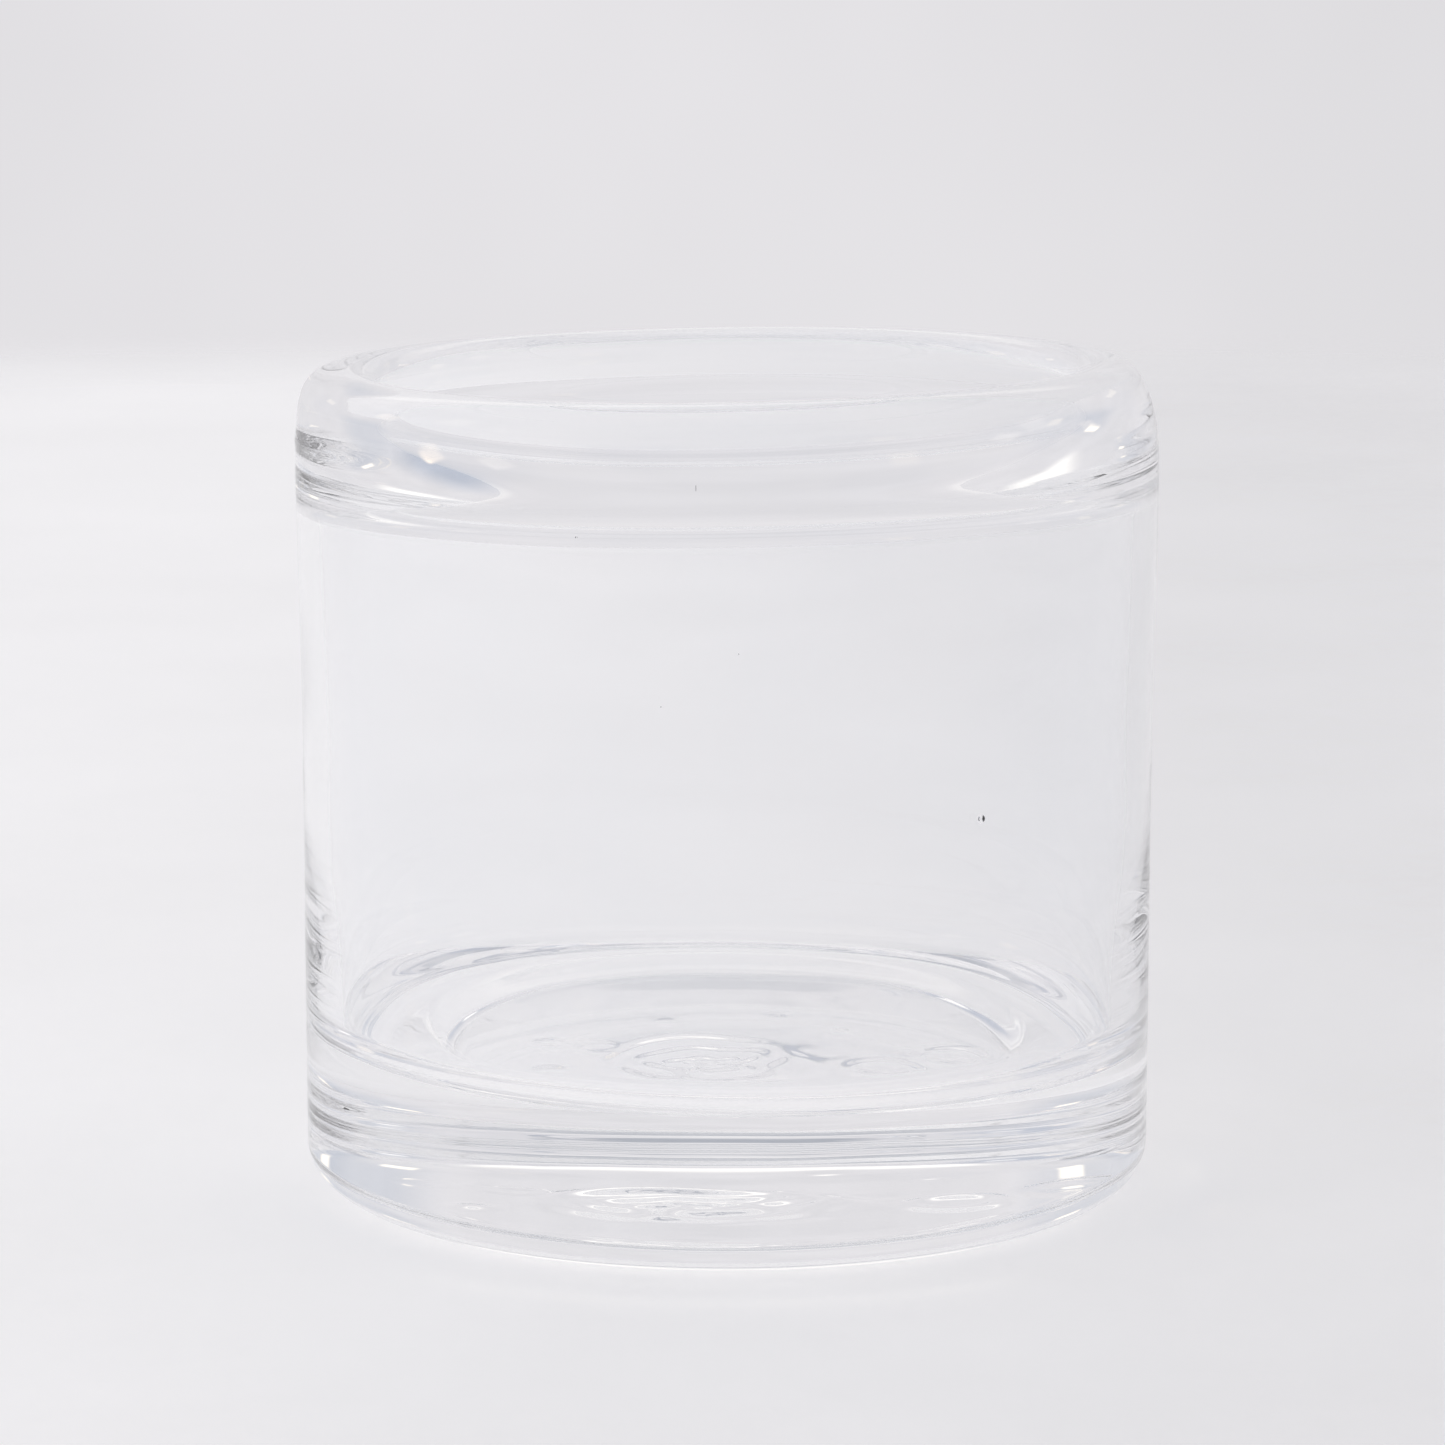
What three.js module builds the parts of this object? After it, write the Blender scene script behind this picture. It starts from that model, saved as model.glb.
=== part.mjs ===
// Heavy hand-blown cylinder vase, in millimetres, +Z up, standing on z = 0 with its axis on +Z.
// It is one piece of glass: a thick base with a dished inside floor, a straight wall, and a thick lip turned
// slightly inwards.
import * as THREE from 'three';

// Overall sizes
const bodyRadius = 50;          // outside of the straight wall
const height = 98;              // table to the crest of the lip

// Foot and underside
const heelRadius = 5.5;         // rounding between the foot and the wall
const footWidth = 6;            // flat ring that the vase stands on
const puntDepth = 0.6;          // rise of the hollow underside at its middle
const pontilRadius = 12;        // smoothed scar where the iron was broken off
const pontilDepth = 0.5;        // how much deeper the scar is than the hollow around it

// Wall
const baseWall = 4;             // wall just above the floor
const topWall = 3;              // wall just below the lip

// Inside floor: a shelf around a shallow dish
const floorThickness = 17.4;    // glass between the table and the shelf
const floorCurveWidth = 5;      // how far the curved edge of the floor reaches in from the wall
const floorCurveHeight = 3;     // how far it climbs up the wall
const shelfWidth = 4.4;         // level shelf between that curve and the dish's edge
const dishEdgeWidth = 4.8;      // breadth of that edge
const dishDepth = 1.6;          // how far the dish is pressed below the shelf

// Lip
const lipBulge = 0.5;           // how far the lip stands out from the wall
const lipFlareHeight = 12;      // height over which the wall swells to the lip
const lipThickness = 9.3;       // widest part of the lip, outside to inside
const lipHeight = 13;           // height of the lip's rounded outer shoulder
const crestFromInside = 3.3;    // crest of the lip, measured from its inner edge
const lipInnerRound = 3.5;      // height of the rounding from the crest to the inner edge
const lipUndercut = 12;         // height over which the inside sweeps from that edge back to the wall

// Facets
const sidesAround = 72;
const arcSteps = 7;

const lipRadius = bodyRadius + lipBulge;
const lipInnerRadius = lipRadius - lipThickness;
const crestRadius = lipInnerRadius + crestFromInside;
const shoulderStart = height - lipHeight;
const footRadius = bodyRadius - heelRadius;
const puntRadius = footRadius - footWidth;

// Points of an ellipse about (r, z), from one angle to another in degrees, ends included.
function arc(r, z, radiusAcross, radiusUp, from, to, steps = arcSteps) {
  return Array.from({ length: steps + 1 }, (_, i) => {
    const angle = THREE.MathUtils.degToRad(from + (to - from) * i / steps);
    return new THREE.Vector2(r + radiusAcross * Math.cos(angle), z + radiusUp * Math.sin(angle));
  });
}

// Points of a smooth S between two points, ends left out, that leaves and arrives straight up or down.
function swell(r0, z0, r1, z1, steps = arcSteps) {
  return Array.from({ length: steps - 1 }, (_, i) => {
    const t = (i + 1) / steps;
    return new THREE.Vector2(THREE.MathUtils.lerp(r0, r1, t * t * (3 - 2 * t)), THREE.MathUtils.lerp(z0, z1, t));
  });
}

// Points of a smooth step between two levels, ends left out, that leaves and arrives level.
function levelStep(r0, z0, r1, z1, steps = arcSteps) {
  return Array.from({ length: steps - 1 }, (_, i) => {
    const t = (i + 1) / steps;
    return new THREE.Vector2(THREE.MathUtils.lerp(r0, r1, t), THREE.MathUtils.lerp(z0, z1, t * t * (3 - 2 * t)));
  });
}

// Hollow underside from the axis out to the foot: a shallow dome with the pontil scar sunk in it.
function underside() {
  const rings = [0, 0.35, 0.7, 1].map((share) => share * pontilRadius);
  rings.push(...[0.25, 0.5, 0.75, 1].map((share) => THREE.MathUtils.lerp(pontilRadius, puntRadius, share)));
  return rings.map((r) => {
    const dome = puntDepth * (1 - (r / puntRadius) ** 2);
    const scar = r < pontilRadius ? pontilDepth * (1 - (r / pontilRadius) ** 2) : 0;
    return new THREE.Vector2(r, dome + scar);
  });
}

function vaseProfile() {
  const innerBottom = bodyRadius - baseWall;
  const innerTop = bodyRadius - topWall;
  const innerEdge = height - lipInnerRound;
  const floorCurveTop = floorThickness + floorCurveHeight;
  const dishTop = innerBottom - floorCurveWidth - shelfWidth;
  const dishFoot = dishTop - dishEdgeWidth;
  const dishLevel = floorThickness - dishDepth;
  return [
    ...underside(),
    ...arc(footRadius, heelRadius, heelRadius, heelRadius, -90, 0),
    new THREE.Vector2(bodyRadius, shoulderStart - lipFlareHeight),
    ...swell(bodyRadius, shoulderStart - lipFlareHeight, lipRadius, shoulderStart, 4),
    ...arc(crestRadius, shoulderStart, lipRadius - crestRadius, lipHeight, 0, 90),
    ...arc(crestRadius, innerEdge, crestFromInside, lipInnerRound, 90, 180).slice(1),
    ...swell(lipInnerRadius, innerEdge, innerTop, innerEdge - lipUndercut, 10),
    new THREE.Vector2(innerTop, innerEdge - lipUndercut),
    ...arc(innerBottom - floorCurveWidth, floorCurveTop, floorCurveWidth, floorCurveHeight, 0, -90),
    new THREE.Vector2(dishTop, floorThickness),
    ...levelStep(dishTop, floorThickness, dishFoot, dishLevel),
    new THREE.Vector2(dishFoot, dishLevel),
    new THREE.Vector2(0, dishLevel),
  ];
}

const glass = new THREE.MeshStandardMaterial({
  color: 0xf4f7f8,
  roughness: 0.02,
  metalness: 0,
  transparent: true,
  opacity: 0.35,
});

const body = new THREE.Mesh(new THREE.LatheGeometry(vaseProfile(), sidesAround), glass);
body.name = 'glass_body';
body.rotation.x = Math.PI / 2;

const vase = new THREE.Group();
vase.add(body);

export default vase;
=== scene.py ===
import math

import bpy
import numpy as np
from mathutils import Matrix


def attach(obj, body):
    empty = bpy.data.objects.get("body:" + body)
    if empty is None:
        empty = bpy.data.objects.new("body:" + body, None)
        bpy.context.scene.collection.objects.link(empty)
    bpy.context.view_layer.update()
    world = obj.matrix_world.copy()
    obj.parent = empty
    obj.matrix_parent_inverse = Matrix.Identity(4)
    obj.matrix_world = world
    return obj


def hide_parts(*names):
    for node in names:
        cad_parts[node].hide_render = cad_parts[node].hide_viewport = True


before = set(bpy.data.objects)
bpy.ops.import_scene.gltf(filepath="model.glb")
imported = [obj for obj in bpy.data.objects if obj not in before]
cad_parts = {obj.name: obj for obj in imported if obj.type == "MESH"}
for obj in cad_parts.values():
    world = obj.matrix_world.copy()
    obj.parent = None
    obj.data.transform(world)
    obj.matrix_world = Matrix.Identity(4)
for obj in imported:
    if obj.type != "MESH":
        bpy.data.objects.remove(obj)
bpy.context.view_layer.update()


# ---- The vase ----
# One gather of clear soda-lime glass, blown and rolled to a straight cylinder on a thick base. The mouth was
# cut, reheated and pressed in, so that the lip is thick and rounded, and the iron was broken off under the
# base and the scar melted smooth. Lengths in this section are in millimetres until the mesh is made.
body_radius = 50.0
foot_radius = 43.5          # the ring that touches the table
heel_radius = 5.5           # height of the rounding from that ring up to the wall
punt_rise = 0.45            # the underside at its middle, above the table
base_glass = 17.45          # table to the inside floor's shelf
wall_low, wall_high = 4.0, 3.0   # thickness of the wall near the floor and near the lip
rim_height = 97.25
rim_slant = 0.6             # the rim is this much higher on the +X side and lower on the other
lip_swell = 0.45            # how far the lip stands out from the wall
swell_start = 52.0          # height at which the wall starts to swell towards the lip
crest_radius = 44.2         # the highest line of the lip
mouth_radius = 41.1         # the mouth where it is narrowest
shoulder_height = 13.2      # height of the lip's rounded outer side
inner_round = 3.6           # height of the rounding from the crest to the mouth
lip_sweep = 13.0            # height over which the inside of the lip runs back to the wall
dish_radius = 34.2          # middle of the sloping edge of the dish pressed into the floor
dish_edge = 4.8             # breadth of that edge
dish_depth = 1.6            # how far the dish lies below the shelf around it
floor_curve = (6.5, 5.0)    # how far the floor's edge reaches in from the wall, and up it
scar_middle = -2.0          # the pontil scar's middle, along X

turn = np.linspace(0.0, 2.0 * np.pi, 320, endpoint=False)[None, :]


def steps(count, start=0.0, end=1.0):
    """A column of evenly spaced shares."""
    return np.linspace(start, end, count)[:, None]


def ease(share):
    """A step from 0 to 1 whose slope and bend are nil at both ends: 6s^5 - 15s^4 + 10s^3."""
    s = np.clip(share, 0.0, 1.0)
    return s * s * s * (s * (6.0 * s - 15.0) + 10.0)


def corner(share, power):
    """A quarter of the curve x^p + y^p = 1 from (1, 0) to (0, 1), at even angles; a higher power is squarer."""
    across, up = np.cos(share * np.pi / 2), np.sin(share * np.pi / 2)
    reach = (across ** power + up ** power) ** (-1.0 / power)
    return across * reach, up * reach


def waves(seed, count, around, along, a, b):
    """A sum of count cosines of whole numbers of turns around and random lengths along, at random phases,
    each weaker as it is finer, scaled to about 1."""
    draw = np.random.default_rng(seed)
    total = np.zeros(np.broadcast(a, b).shape)
    for _ in range(count):
        k = draw.integers(around[0], around[1] + 1)
        m = draw.uniform(*along)
        strength = 1.0 / (1.0 + 0.15 * k + 4.0 * abs(m))
        total = total + strength * np.cos(k * a + 2 * np.pi * m * b + draw.uniform(0, 2 * np.pi))
    return total / np.sqrt(count / 4.0)


def rim(a):
    """Height of the lip's crest at turn a: level, plus the slant, plus a slow waver."""
    return rim_height + rim_slant * np.cos(a - 0.2) + 0.08 * np.cos(2 * a + 1.1) + 0.04 * np.cos(5 * a)


def tool_lines(seed, z, a):
    """Fine, nearly level ripples left by the paddles: waves that are short up the glass and very long around
    it, strongest on the two sides where the tools pressed."""
    pressed = 0.12 + 0.88 * np.abs(np.cos(a + 0.15)) ** 2.5
    return waves(seed, 26, (-3, 3), (0.10, 0.55), a, z) * pressed


def wall_outside(z, a):
    """Radius of the outer wall at height z: straight, swelling slightly towards the lip, faintly wavy."""
    swell = lip_swell * ease((z - swell_start) / (rim(a) - shoulder_height - swell_start))
    return body_radius + swell + 0.02 * waves(3, 14, (0, 7), (-0.035, 0.035), a, z) - 0.04


def wall_inside(z, a):
    """Radius of the inner wall: the outer one less the wall's thickness, which grows towards the base."""
    thickness = wall_high + (wall_low - wall_high) * ease((46.0 - z) / 30.0)
    return wall_outside(z, a) - thickness + 0.035 * waves(4, 16, (0, 8), (-0.04, 0.04), a, z)


def floor_level(r, a):
    """Height of the inside floor: a shelf, level but for a slight slant and a slow unevenness, less the depth
    of the dish inside it, joined by a smooth step."""
    x, y = r * np.cos(a), r * np.sin(a)
    uneven = np.cos(0.21 * x + 0.13 * y + 0.4) + np.cos(-0.11 * x + 0.25 * y + 2.0)
    uneven = uneven + np.cos(0.3 * x - 0.17 * y)
    dish = 1.0 - ease((r - dish_radius + 0.5 * dish_edge) / dish_edge)
    shelf = base_glass - 0.025 * x - 0.3 * (r / 46.0) ** 2 * np.cos(2 * a)
    return shelf + (0.012 * x - dish_depth) * dish + 0.02 * uneven


def lumps(marks, x, y):
    """Small round lumps: for each mark (x, y, ring, width, height) a height times exp(-((d - ring)/width)^2),
    d being the distance from its middle, so that a ring of 0 is a plain lump and a larger one is a ripple."""
    total = 0.0
    for middle_x, middle_y, ring, width, height in marks:
        total = total + height * np.exp(-((np.hypot(x - middle_x, y - middle_y) - ring) / width) ** 2)
    return total


def underside(share, a):
    """From the axis out to the foot ring: a shallow dome, (1 - (r/foot)^2)^2, with the pontil scar in it: a
    wandering ring with a melted swirl inside, and a few lumps around."""
    r = foot_radius * share
    x, y = r * np.cos(a), r * np.sin(a)
    from_scar = np.hypot(x - scar_middle, y)
    swirl = np.arctan2(y, x - scar_middle)
    ring = 10.5 + 1.3 * np.cos(2 * swirl + 0.5) + 0.7 * np.cos(3 * swirl + 1.0)
    strength = 0.6 + 0.6 * np.cos(swirl - 2.4) + 0.3 * np.cos(3 * swirl)
    scar = 0.36 * strength * np.exp(-((from_scar - ring) / 1.5) ** 2)
    bent = from_scar + 0.9 * np.cos(3 * swirl + 1.0) + 0.6 * np.cos(5 * swirl)
    scar = scar + 0.20 * np.cos(1.25 * bent - 1.0 * swirl) * np.exp(-((from_scar - 5.5) / 5.0) ** 4)
    marks = [(18.5, -1.5, 3.6, 1.1, 0.26), (27.0, 5.0, 3.4, 1.2, 0.20), (-21.0, -3.5, 0.0, 1.5, 0.24),
             (-15.5, 7.0, 2.0, 0.9, 0.07), (-22.0, 9.0, 1.4, 0.8, 0.05), (14.0, 14.0, 0.0, 1.4, 0.07)]
    draw = np.random.default_rng(21)
    for _ in range(22):
        marks.append((*draw.uniform(-24.0, 24.0, 2), 0.0, draw.uniform(0.8, 2.2), draw.uniform(-0.05, 0.06)))
    dome = punt_rise * (1.0 - share ** 2) ** 2
    return r + 0 * a, dome + (scar + lumps(marks, x, y)) * ease((1.0 - share) * 4.0)


def heel(share, a):
    """From the foot ring out and up to the wall, a quarter round."""
    out, up = corner(1.0 - share, 2.0)
    reach = body_radius - foot_radius
    r = foot_radius + reach * out
    return r + (wall_outside(heel_radius, a) - body_radius) * out, heel_radius * (1.0 - up) + 0 * a


def outer_wall(share, a):
    z = heel_radius + share * (rim(a) - shoulder_height - heel_radius)
    return wall_outside(z, a), z


def shoulder(share, a):
    """The lip's outer side, a quarter of a squarish oval; it is squarer on the -X side."""
    out, up = corner(share, 2.4 + 1.6 * np.clip(-np.cos(a), 0.0, 1.0) ** 3)
    foot = wall_outside(rim(a) - shoulder_height, a)
    z = rim(a) - shoulder_height * (1.0 - up)
    lines = 0.03 * tool_lines(11, z + 2.0 * (1 - out), a) * ease(share * 4.0)
    return crest_radius + (foot - crest_radius) * out + lines * out, z + lines * up - 0.03


def lip_inside(share, a):
    """From the crest round into the mouth, a quarter oval."""
    up, out = corner(share, 2.1)
    return crest_radius - (crest_radius - mouth_radius) * out, rim(a) - inner_round * (1.0 - up)


def lip_back(share, a):
    """The inside of the lip, a long smooth S from the mouth's edge back out to the wall."""
    top = rim(a) - inner_round
    wall = wall_inside(top - lip_sweep, a)
    z = top - lip_sweep * share
    lines = 0.03 * tool_lines(12, z, a) * ease(share * 5.0) * ease((1.0 - share) * 2.5)
    return mouth_radius + (wall - mouth_radius) * ease(share) + lines, z


def inner_wall(share, a):
    top = rim(a) - inner_round - lip_sweep
    low = base_glass + floor_curve[1]
    z = top + (low - top) * share
    return wall_inside(z, a), z


def floor_edge(share, a):
    """The curve from the wall down to the floor."""
    out, down = corner(share, 2.0)
    top = base_glass + floor_curve[1]
    start = wall_inside(top, a) - floor_curve[0]
    return start + floor_curve[0] * out, top + (floor_level(start, a) - top) * down


def floor(share, a):
    start = wall_inside(base_glass + floor_curve[1], a) - floor_curve[0]
    r = start * (1.0 - share)
    return r, floor_level(r, a)


sections = [
    underside(steps(70), turn),
    heel(steps(15)[1:], turn),
    outer_wall(steps(30)[1:], turn),
    shoulder(steps(46)[1:], turn),
    lip_inside(steps(20)[1:], turn),
    lip_back(steps(38)[1:], turn),
    inner_wall(steps(24)[1:], turn),
    floor_edge(steps(22)[1:], turn),
    floor(steps(44)[1:], turn),
]
radius = np.concatenate([s[0] + 0 * turn for s in sections])
level = np.concatenate([s[1] + 0 * turn for s in sections])


def surface_of_turning(radius, level):
    """Rings of points at (radius cos a, radius sin a, level), joined by four-sided faces, with one point at
    each pole in place of the first and last rings."""
    count = radius.shape[1]
    rings = np.stack([radius * np.cos(turn), radius * np.sin(turn), level], -1)[1:-1]
    poles = [[0.0, 0.0, level[0].mean()], [0.0, 0.0, level[-1].mean()]]
    points = np.concatenate([rings.reshape(-1, 3), poles])
    here = np.arange(count)
    after = np.roll(here, -1)
    up = (np.arange(len(rings) - 1) * count)[:, None]
    quads = np.stack([up + here, up + after, up + count + after, up + count + here], -1).reshape(-1, 4)
    last = (len(rings) - 1) * count
    bottom = np.stack([np.full(count, len(points) - 2), after, here], -1)
    top = np.stack([np.full(count, len(points) - 1), last + here, last + after], -1)
    return points, quads.tolist() + bottom.tolist() + top.tolist()


points, faces = surface_of_turning(radius, level)


def seed_bubble(centre, half):
    """An ellipsoid hollow in the glass, facing inwards to its own middle: centre + half * (unit sphere)."""
    rows, sides = 11, 20
    u = np.linspace(0, np.pi, rows + 2)[1:-1, None]
    v = np.linspace(0, 2 * np.pi, sides, endpoint=False)[None, :]
    ball = np.stack([np.sin(u) * np.cos(v), np.sin(u) * np.sin(v), np.cos(u) + 0 * v], -1).reshape(-1, 3)
    ball = np.concatenate([ball, [[0, 0, 1.0], [0, 0, -1.0]]])
    here = np.arange(sides)
    after = np.roll(here, -1)
    up = (np.arange(rows - 1) * sides)[:, None]
    quads = np.stack([up + here, up + after, up + sides + after, up + sides + here], -1).reshape(-1, 4)
    last = (rows - 1) * sides
    north = np.stack([np.full(sides, rows * sides), after, here], -1)
    south = np.stack([np.full(sides, rows * sides + 1), last + here, last + after], -1)
    return np.array(centre) + ball * np.array(half), quads.tolist() + north.tolist() + south.tolist()


# Each seed: turn in degrees, radius, height, half width, half height.
seeds = [
    (-55.0, 48.3, 50.4, 0.45, 0.47),
    (-94.0, 48.5, 88.2, 0.06, 0.34),
    (-109.5, 48.5, 82.6, 0.13, 0.15),
    (-88.6, 48.5, 70.2, 0.07, 0.10),
    (-98.5, 48.5, 64.3, 0.08, 0.09),
    (-120.6, 48.4, 36.1, 0.08, 0.12),
]
for angle, r, z, wide, tall in seeds:
    centre = (r * math.cos(math.radians(angle)), r * math.sin(math.radians(angle)), z)
    more, more_faces = seed_bubble(centre, (wide, wide, tall))
    faces += [[i + len(points) for i in f] for f in more_faces]
    points = np.concatenate([points, more])

mesh = bpy.data.meshes.new("vase_glass")
mesh.from_pydata((points * 0.001).tolist(), [], faces)
mesh.update()
mesh.shade_smooth()
vase = bpy.data.objects.new("vase_glass", mesh)
bpy.context.scene.collection.objects.link(vase)


def add_node(tree, kind, inputs=None, **settings):
    """A new node in a tree, with its settings. Each input, given by its name or place, is joined to a socket or
    set to a value."""
    node = tree.nodes.new(kind)
    for name, value in settings.items():
        setattr(node, name, value)
    for place, value in (inputs or {}).items():
        if isinstance(value, bpy.types.NodeSocket):
            tree.links.new(value, node.inputs[place])
        else:
            node.inputs[place].default_value = value
    return node


def map_range(tree, value, start, end, interpolation="LINEAR"):
    """The value carried from one pair of limits to another, and held inside them."""
    inputs = {"Value": value, "From Min": start[0], "From Max": start[1], "To Min": end[0], "To Max": end[1]}
    return add_node(tree, "ShaderNodeMapRange", inputs, interpolation_type=interpolation).outputs["Result"]


def two_colours(tree, value, low, high):
    """A colour that runs from one to another as the value goes between two places: each is (place, colour)."""
    ramp = add_node(tree, "ShaderNodeValToRGB", {"Fac": value})
    for stop, (place, colour) in zip(ramp.color_ramp.elements, (low, high)):
        stop.position = place
        stop.color = (*colour, 1)
    return ramp.outputs["Color"]


glass = bpy.data.materials.new("clear_blown_glass")
glass.use_nodes = True
tree = glass.node_tree
shader = tree.nodes["Principled BSDF"]
shader.inputs["Transmission Weight"].default_value = 1.0
shader.inputs["Roughness"].default_value = 0.0
shader.inputs["IOR"].default_value = 1.5
place = add_node(tree, "ShaderNodeTexCoord").outputs["Object"]
# The melt is a little uneven: slow clouds of a fainter and a stronger cool tint.
melt = add_node(tree, "ShaderNodeTexNoise", {"Vector": place, "Scale": 28.0, "Detail": 3.0})
tint = two_colours(tree, melt.outputs["Fac"], (0.35, (0.990, 0.994, 1.0)), (0.65, (0.998, 0.998, 1.0)))
tree.links.new(tint, shader.inputs["Base Color"])
# Fire-polished skin: a very shallow, soft ripple, longer around the vase than up it.
stretch = add_node(tree, "ShaderNodeMapping", {"Vector": place, "Scale": (1.0, 1.0, 1.8)})
skin = add_node(tree, "ShaderNodeTexNoise", {"Vector": stretch.outputs["Vector"], "Scale": 45.0, "Detail": 1.0})
ripple = add_node(tree, "ShaderNodeBump", {"Height": skin.outputs["Fac"], "Strength": 0.15, "Distance": 0.0003})
tree.links.new(ripple.outputs["Normal"], shader.inputs["Normal"])
mesh.materials.append(glass)

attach(vase, "root")
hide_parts("glass_body")


# ---- The table ----
# A plain pale plaster-like studio surface, faintly mottled. It fades out into the room a good way off, so that
# it has no hard far edge from any side. Lengths are in metres from here on.
drop = -0.0002              # just under the foot ring, so that the two faces don't fight
table_mesh = bpy.data.meshes.new("table")
table_mesh.from_pydata([(-3, -3, drop), (3, -3, drop), (3, 3, drop), (-3, 3, drop)], [], [(0, 1, 2, 3)])
table = bpy.data.objects.new("table", table_mesh)
bpy.context.scene.collection.objects.link(table)

plaster = bpy.data.materials.new("pale_plaster")
plaster.use_nodes = True
tree = plaster.node_tree
shader = tree.nodes["Principled BSDF"]
shader.inputs["Roughness"].default_value = 0.62
shader.inputs["Specular IOR Level"].default_value = 0.25
# Emission colour of the table's painted light glow, whose strength is set below.
shader.inputs["Emission Color"].default_value = (1.0, 0.99, 0.985, 1)
place = add_node(tree, "ShaderNodeTexCoord").outputs["Object"]
# Slow clouds, and fine grain over them that also roughens the surface.
cloud = add_node(tree, "ShaderNodeTexNoise", {"Vector": place, "Scale": 9.0, "Detail": 6.0, "Roughness": 0.62})
shade = two_colours(tree, cloud.outputs["Fac"], (0.36, (0.915, 0.91, 0.90)), (0.64, (0.955, 0.95, 0.94)))
fine = add_node(tree, "ShaderNodeTexNoise", {"Vector": place, "Scale": 240.0, "Detail": 5.0, "Roughness": 0.7})
grain = map_range(tree, fine.outputs["Fac"], (0.3, 0.7), (0.975, 1.0))
both = add_node(tree, "ShaderNodeMix", {"Factor": 1.0, "A": shade, "B": grain}, data_type="RGBA",
                blend_type="MULTIPLY")
tree.links.new(both.outputs["Result"], shader.inputs["Base Color"])
relief = add_node(tree, "ShaderNodeBump", {"Height": fine.outputs["Fac"], "Strength": 0.12, "Distance": 0.0006})
tree.links.new(relief.outputs["Normal"], shader.inputs["Normal"])
# Painted light: a faint emission glow on the table, which is no lamp, keeps it as pale as the room. The painted
# light is weaker towards +X, as the light comes from -X.
across = add_node(tree, "ShaderNodeSeparateXYZ", {0: place}).outputs["X"]
painted_light_glow = map_range(tree, across, (-0.15, 0.15), (0.20, 0.075), "SMOOTHSTEP")
tree.links.new(painted_light_glow, shader.inputs["Emission Strength"])
away = add_node(tree, "ShaderNodeVectorMath", {0: place}, operation="LENGTH").outputs["Value"]
tree.links.new(map_range(tree, away, (0.90, 1.12), (1.0, 0.0), "SMOOTHSTEP"), shader.inputs["Alpha"])
table_mesh.materials.append(plaster)


# ---- Light ----
# A soft, nearly even white room: a plain pale wall behind the table, a slightly brighter ceiling, and a dimmer
# bluish room on the side that the camera stands on, with a few soft windows and lamps in it.
world = bpy.data.worlds.new("room")
bpy.context.scene.world = world
world.use_nodes = True
room = world.node_tree


window_sockets = ("Middle Azimuth", "Middle Elevation", "Half Width", "Half Height", "Edge")


def maths(tree, operation, *values):
    """The result of one sum on sockets or numbers."""
    return add_node(tree, "ShaderNodeMath", dict(enumerate(values)), operation=operation).outputs[0]


def window_group():
    """A node group that gives 1 inside a soft-edged window of the room and 0 outside it: smooth steps of the
    distances from its middle in azimuth and in elevation, multiplied. All angles are in degrees."""
    group = bpy.data.node_groups.new("soft_window", "ShaderNodeTree")
    for name in ("Azimuth", "Elevation", *window_sockets):
        group.interface.new_socket(name, in_out="INPUT", socket_type="NodeSocketFloat")
    group.interface.new_socket("Mask", in_out="OUTPUT", socket_type="NodeSocketFloat")
    given = add_node(group, "NodeGroupInput").outputs
    masks = []
    for angle, half in (("Azimuth", "Half Width"), ("Elevation", "Half Height")):
        off = maths(group, "SUBTRACT", given[angle], given["Middle " + angle])
        off = maths(group, "ABSOLUTE", maths(group, "WRAP", off, 180.0, -180.0))
        inner = maths(group, "SUBTRACT", given[half], given["Edge"])
        outer = maths(group, "ADD", given[half], given["Edge"])
        masks.append(map_range(group, off, (inner, outer), (1.0, 0.0), "SMOOTHSTEP"))
    add_node(group, "NodeGroupOutput", {"Mask": maths(group, "MULTIPLY", *masks)})
    return group


where = add_node(room, "ShaderNodeTexCoord").outputs["Generated"]
along = add_node(room, "ShaderNodeSeparateXYZ", {0: where}).outputs
# Azimuth 0 is straight behind the vase, and +90 is on its +X side.
azimuth = maths(room, "DEGREES", maths(room, "ARCTAN2", along["X"], along["Y"]))
elevation = maths(room, "DEGREES", maths(room, "ARCSINE", along["Z"]))

climb = map_range(room, elevation, (-90.0, 90.0), (0.0, 1.0))
sky = add_node(room, "ShaderNodeValToRGB", {"Fac": climb})
sky.color_ramp.elements[0].color = (0.77, 0.76, 0.78, 1)
sky.color_ramp.elements[1].color = (0.90, 0.885, 0.90, 1)
sky.color_ramp.elements.new(0.85).color = (0.785, 0.77, 0.795, 1)

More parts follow.
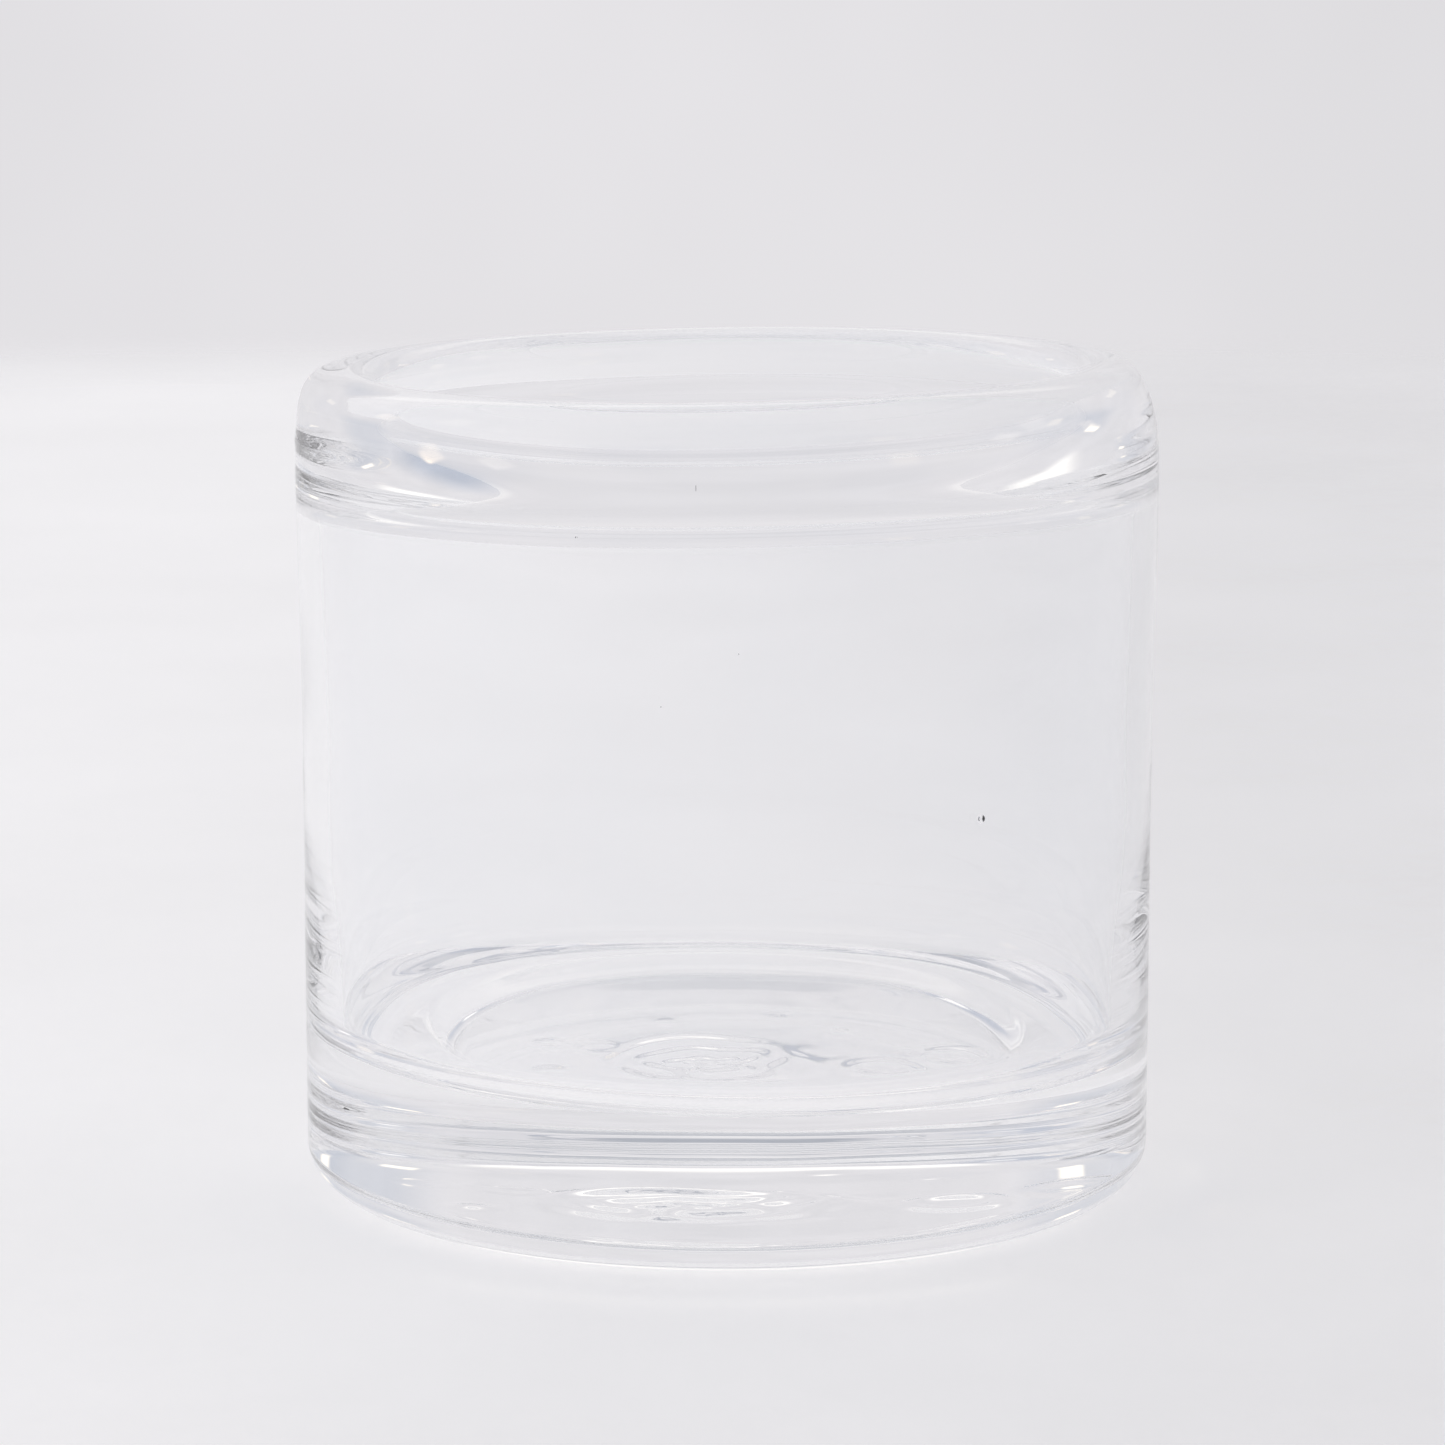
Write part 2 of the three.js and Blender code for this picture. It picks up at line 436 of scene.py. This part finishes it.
# Azimuth, elevation, half width, half height, edge, colour.
windows = [
    (180, 50, 46, 22, 12, (0.42, 0.44, 0.49)),
    (0, 19, 26, 5, 4, (0.75, 0.74, 0.765)),
    (0, 37, 34, 5, 4, (1.25, 1.22, 1.18)),
    (46, 13, 12, 7, 7, (0.64, 0.655, 0.71)),
    (-46, 9, 12, 7, 7, (0.64, 0.655, 0.71)),
    (40, 19, 4, 1.5, 1, (1.4, 1.3, 1.15)),
    (-42, 15, 3, 1.5, 1, (1.4, 1.3, 1.15)),
    (14, -8, 9, 13, 8, (0.735, 0.725, 0.745)),
    (-82, 32, 24, 18, 9, (0.50, 0.54, 0.63)),
    (76, 18, 20, 13, 7, (0.50, 0.54, 0.63)),
    (-150, 26, 14, 12, 5, (0.42, 0.45, 0.53)),
    (140, 10, 14, 10, 5, (0.45, 0.48, 0.56)),
    (-72, 24, 4, 4, 1.5, (1.5, 1.3, 1.1)),
    (-92, 38, 5, 5, 2, (1.4, 1.35, 1.3)),
    (66, 12, 3, 4, 1.5, (1.6, 1.45, 1.25)),
    (84, 24, 5, 4, 2, (1.5, 1.45, 1.4)),
    (132, 16, 4, 4, 2, (1.5, 1.3, 1.0)),
]
group = window_group()
colour = sky.outputs["Color"]
for *numbers, tint in windows:
    inputs = {"Azimuth": azimuth, "Elevation": elevation, **dict(zip(window_sockets, numbers))}
    window = add_node(room, "ShaderNodeGroup", inputs, node_tree=group)
    mix = {"Factor": window.outputs["Mask"], "A": colour, "B": (*tint, 1.0)}
    colour = add_node(room, "ShaderNodeMix", mix, data_type="RGBA").outputs["Result"]
# Faint soft blotches over everything, as on a painted wall.
blotch = add_node(room, "ShaderNodeTexNoise", {"Vector": where, "Scale": 7.0, "Detail": 3.0}).outputs["Fac"]
background = room.nodes["Background"]
room.links.new(map_range(room, blotch, (0.3, 0.7), (0.96, 1.03)), background.inputs["Strength"])
room.links.new(colour, background.inputs["Color"])


# ---- The camera ----
# A long lens, a little above the rim and looking slightly down.
lens = bpy.data.cameras.new("camera")
camera = bpy.data.objects.new("camera", lens)
bpy.context.scene.collection.objects.link(camera)
camera.location = (-0.00055, -0.624, 0.15775)   # metres
camera.rotation_euler = (math.radians(90.0 - 9.39), 0.0, 0.0)
lens.sensor_width = 36.0
lens.lens = 133.6
lens.clip_start = 0.01
scene = bpy.context.scene
scene.camera = camera
scene.view_settings.view_transform = "Standard"
scene.cycles.use_denoising = True
scene.cycles.max_bounces = 48
scene.cycles.transmission_bounces = 48
scene.cycles.glossy_bounces = 48
scene.cycles.diffuse_bounces = 12
scene.cycles.blur_glossy = 0.0
